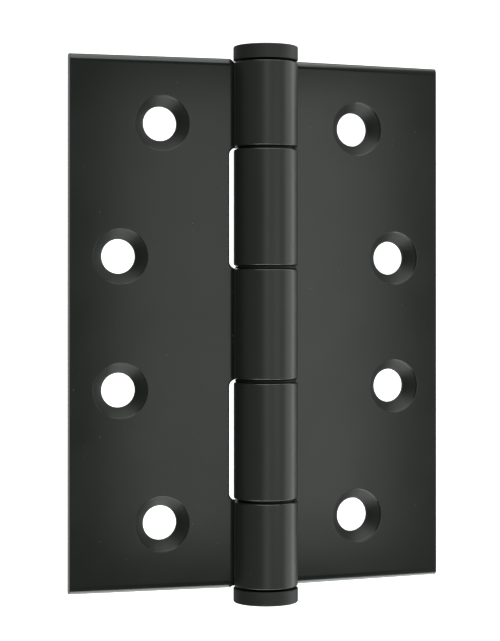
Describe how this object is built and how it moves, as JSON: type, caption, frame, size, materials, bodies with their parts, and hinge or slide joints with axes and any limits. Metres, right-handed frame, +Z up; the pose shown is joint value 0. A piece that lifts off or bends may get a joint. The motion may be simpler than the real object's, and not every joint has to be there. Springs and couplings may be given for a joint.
{
  "type": "door butt hinge",
  "caption": "Square-cornered butt hinge: flat leaves with countersunk screw holes, rolled into interlocking knuckles round a capped pin, so that a door can swing.",
  "frame": {"origin": "on the frame leaf's back face, at the middle of its four screw holes, halfway up the leaf", "axes": "+Y out of the frame leaf's back, into the door frame it is screwed to; +Z up along the pin; +X across the leaf to the pin and the door leaf"},
  "size_m": [0.0755, 0.0152, 0.107],
  "materials": {
    "black_powder_coat": "fine satin black powder coat",
    "ground_steel": "ground",
    "polished_steel": "hardened and polished",
    "black_nylon": "moulded, matt"
  },
  "bodies": {
    "frame_side": {"frame_leaf": "black_powder_coat", "hinge_pin": "ground_steel", "top_cap": "black_powder_coat", "bottom_cap": "black_powder_coat", "upper_frame_race": "polished_steel", "lower_frame_race": "polished_steel", "upper_washer": "black_nylon", "lower_washer": "black_nylon"},
    "door_side": {"door_leaf": "black_powder_coat", "upper_door_race": "polished_steel", "lower_door_race": "polished_steel"},
    "upper_balls": {"upper_ball_cage": "black_nylon", "upper_ball_1": "polished_steel", "upper_ball_2": "polished_steel", "upper_ball_3": "polished_steel", "upper_ball_4": "polished_steel", "upper_ball_5": "polished_steel", "upper_ball_6": "polished_steel", "upper_ball_7": "polished_steel", "upper_ball_8": "polished_steel"},
    "lower_balls": {"lower_ball_cage": "black_nylon", "lower_ball_1": "polished_steel", "lower_ball_2": "polished_steel", "lower_ball_3": "polished_steel", "lower_ball_4": "polished_steel", "lower_ball_5": "polished_steel", "lower_ball_6": "polished_steel", "lower_ball_7": "polished_steel", "lower_ball_8": "polished_steel"}
  },
  "joints": [
    {"name": "door_leaf_swing", "type": "hinge", "parent": "frame_side", "child": "door_side", "pos_m": [0.0242, -0.004, -0.0002], "axis": [0, 0, 1], "range_deg": [-187.6, 82.4]},
    {"name": "upper_balls_circle", "type": "hinge", "parent": "frame_side", "child": "upper_balls", "pos_m": [0.0242, -0.004, 0.03365], "axis": [0, 0, 1], "range_deg": [-93.8, 41.2]},
    {"name": "lower_balls_circle", "type": "hinge", "parent": "frame_side", "child": "lower_balls", "pos_m": [0.0242, -0.004, -0.03405], "axis": [0, 0, 1], "range_deg": [-93.8, 41.2]}
  ],
  "couplings": [
    {"joint": "upper_balls_circle", "follows": "door_leaf_swing", "ratio": 0.5},
    {"joint": "lower_balls_circle", "follows": "door_leaf_swing", "ratio": 0.5}
  ]
}
